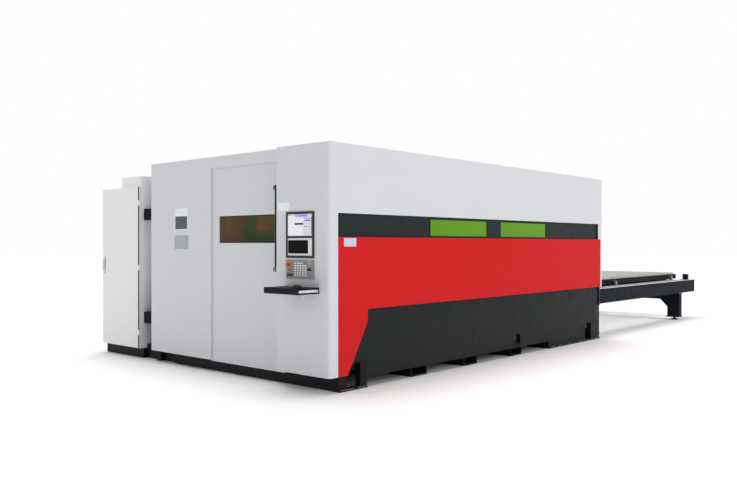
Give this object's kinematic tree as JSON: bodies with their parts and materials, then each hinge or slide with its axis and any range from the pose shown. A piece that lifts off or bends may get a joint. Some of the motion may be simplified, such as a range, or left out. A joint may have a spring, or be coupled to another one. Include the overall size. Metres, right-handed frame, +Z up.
{
  "type": "sheet laser cutting machine",
  "caption": "Closed-cabin fiber laser cutting machine with sliding door, operator console, electric cabinet and a two-level pallet table.",
  "frame": {"origin": "on the floor, under the front cross beam, 200 mm behind the operator face, in the middle of the cabin's width", "axes": "+X from the operator face to the pallet table, +Y from the red long side towards the electric cabinet, +Z up"},
  "size_m": [9.93, 4.03, 2.25],
  "materials": {
    "white_paint": "satin",
    "red_paint": "satin",
    "charcoal_paint": "satin",
    "black_paint": "satin",
    "grey_paint": "satin",
    "green_pane": "tinted",
    "amber_pane": "tinted",
    "bright_steel": "ground",
    "slat_steel": "matt",
    "wheel_nylon": "matt",
    "glide_nylon": "matt",
    "black_plastic": "matt",
    "screen_plastic": "gloss",
    "pale_plastic": "matt",
    "red_plastic": "gloss",
    "green_plastic": "gloss",
    "aluminium_cast": "satin",
    "brass_tip": "satin"
  },
  "bodies": {
    "machine": {"base_frame": "black_paint", "cabin_frame": "grey_paint", "roof_covers": "white_paint", "console_cover": "white_paint", "front_fixed_panels": "white_paint", "door_tracks": "bright_steel", "near_upper_cover": "white_paint", "near_window_band": "charcoal_paint", "near_windows": "green_pane", "red_front_cover": "red_paint", "red_middle_cover": "red_paint", "red_rear_cover": "red_paint", "lower_skirts": "charcoal_paint", "far_side_covers": "white_paint", "rear_covers": "white_paint", "entry_shutter": "grey_paint", "extraction_spigot": "grey_paint", "bed_frame": "charcoal_paint", "steel_rails": "bright_steel", "table_frame": "charcoal_paint", "levelling_feet": "bright_steel", "screen_frame": "black_paint", "screen": "screen_plastic", "keypad_panel": "pale_plastic", "entry_pad": "black_plastic", "operator_panel": "grey_paint", "panel_keys": "pale_plastic", "keyboard_tray": "black_paint", "mouse": "black_plastic", "cabinet_shell": "white_paint", "cabinet_plinth": "black_paint", "cabinet_roof_unit": "white_paint", "cable_ducts": "black_paint", "cabinet_equipment": "grey_paint"},
    "door": {"door_leaf": "white_paint", "door_window": "amber_pane", "door_handle": "charcoal_paint", "door_glides": "glide_nylon"},
    "gantry": {"gantry_beam": "white_paint", "cross_guides": "bright_steel"},
    "carriage": {"cross_carriage": "aluminium_cast"},
    "head": {"cutting_head": "grey_paint", "nozzle": "brass_tip"},
    "upper_pallet": {"upper_pallet_frame": "charcoal_paint", "upper_pallet_slats": "slat_steel"},
    "upper_front_wheelset": {"upper_pallet_front_wheels": "wheel_nylon"},
    "upper_rear_wheelset": {"upper_pallet_rear_wheels": "wheel_nylon"},
    "lower_pallet": {"lower_pallet_frame": "charcoal_paint", "lower_pallet_slats": "slat_steel"},
    "lower_front_wheelset": {"lower_pallet_front_wheels": "wheel_nylon"},
    "lower_rear_wheelset": {"lower_pallet_rear_wheels": "wheel_nylon"},
    "cabinet_door_leaf": {"cabinet_door": "white_paint"},
    "cabinet_latch": {"cabinet_lever": "black_plastic"},
    "stop_button": {"emergency_stop": "red_plastic"},
    "start_cap": {"start_button": "green_plastic"},
    "halt_cap": {"halt_button": "red_plastic"},
    "left_switch": {"left_selector": "black_plastic"},
    "right_switch": {"right_selector": "black_plastic"},
    "override_dial": {"override_knob": "black_plastic"}
  },
  "joints": [
    {"name": "front_door_slide", "type": "slide", "parent": "machine", "child": "door", "axis": [0, 1, 0], "range_m": [0, 0.95]},
    {"name": "gantry_travel", "type": "slide", "parent": "machine", "child": "gantry", "axis": [1, 0, 0], "range_m": [0, 3.5]},
    {"name": "carriage_travel", "type": "slide", "parent": "gantry", "child": "carriage", "axis": [0, 1, 0], "range_m": [-0.775, 0.775]},
    {"name": "head_lift", "type": "slide", "parent": "carriage", "child": "head", "axis": [0, 0, 1], "range_m": [-0.115, 0]},
    {"name": "upper_pallet_travel", "type": "slide", "parent": "machine", "child": "upper_pallet", "axis": [-1, 0, 0], "range_m": [0, 4.4]},
    {"name": "lower_pallet_travel", "type": "slide", "parent": "machine", "child": "lower_pallet", "axis": [1, 0, 0], "range_m": [0, 4.4]},
    {"name": "upper_front_wheels_turn", "type": "hinge", "parent": "upper_pallet", "child": "upper_front_wheelset", "pos_m": [6.27, -0.375, 0.74], "axis": [0, -1, 0], "range_deg": [0, 6302.6]},
    {"name": "upper_rear_wheels_turn", "type": "hinge", "parent": "upper_pallet", "child": "upper_rear_wheelset", "pos_m": [8.58, -0.375, 0.74], "axis": [0, -1, 0], "range_deg": [0, 6302.6]},
    {"name": "lower_front_wheels_turn", "type": "hinge", "parent": "lower_pallet", "child": "lower_front_wheelset", "pos_m": [1.87, -0.375, 0.54], "axis": [0, 1, 0], "range_deg": [0, 6302.6]},
    {"name": "lower_rear_wheels_turn", "type": "hinge", "parent": "lower_pallet", "child": "lower_rear_wheelset", "pos_m": [4.18, -0.375, 0.54], "axis": [0, 1, 0], "range_deg": [0, 6302.6]},
    {"name": "cabinet_door_swing", "type": "hinge", "parent": "machine", "child": "cabinet_door_leaf", "pos_m": [-0.122, 1.728, 1.06], "axis": [0, 0, 1], "range_deg": [0, 115]},
    {"name": "cabinet_lever_turn", "type": "hinge", "parent": "cabinet_door_leaf", "child": "cabinet_latch", "pos_m": [-0.1263, 2.51, 1.14], "axis": [-1, 0, 0], "range_deg": [0, 90]},
    {"name": "emergency_stop_press", "type": "slide", "parent": "machine", "child": "stop_button", "axis": [1, 0, 0], "range_m": [0, 0.005]},
    {"name": "start_press", "type": "slide", "parent": "machine", "child": "start_cap", "axis": [1, 0, 0], "range_m": [0, 0.004], "stiffness_N_per_m": 400},
    {"name": "halt_press", "type": "slide", "parent": "machine", "child": "halt_cap", "axis": [1, 0, 0], "range_m": [0, 0.004], "stiffness_N_per_m": 400},
    {"name": "left_selector_turn", "type": "hinge", "parent": "machine", "child": "left_switch", "pos_m": [-0.218, -0.954, 1.055], "axis": [1, 0, 0], "range_deg": [-45, 45]},
    {"name": "right_selector_turn", "type": "hinge", "parent": "machine", "child": "right_switch", "pos_m": [-0.218, -0.994, 1.055], "axis": [1, 0, 0], "range_deg": [-45, 45]},
    {"name": "override_turn", "type": "hinge", "parent": "machine", "child": "override_dial", "pos_m": [-0.218, -1.234, 1.108], "axis": [1, 0, 0], "range_deg": [-150, 150]}
  ],
  "couplings": [
    {"joint": "lower_pallet_travel", "follows": "upper_pallet_travel", "ratio": 1},
    {"joint": "upper_front_wheels_turn", "follows": "upper_pallet_travel", "rad_per_m": 25},
    {"joint": "upper_rear_wheels_turn", "follows": "upper_pallet_travel", "rad_per_m": 25},
    {"joint": "lower_front_wheels_turn", "follows": "upper_pallet_travel", "rad_per_m": 25},
    {"joint": "lower_rear_wheels_turn", "follows": "upper_pallet_travel", "rad_per_m": 25}
  ]
}
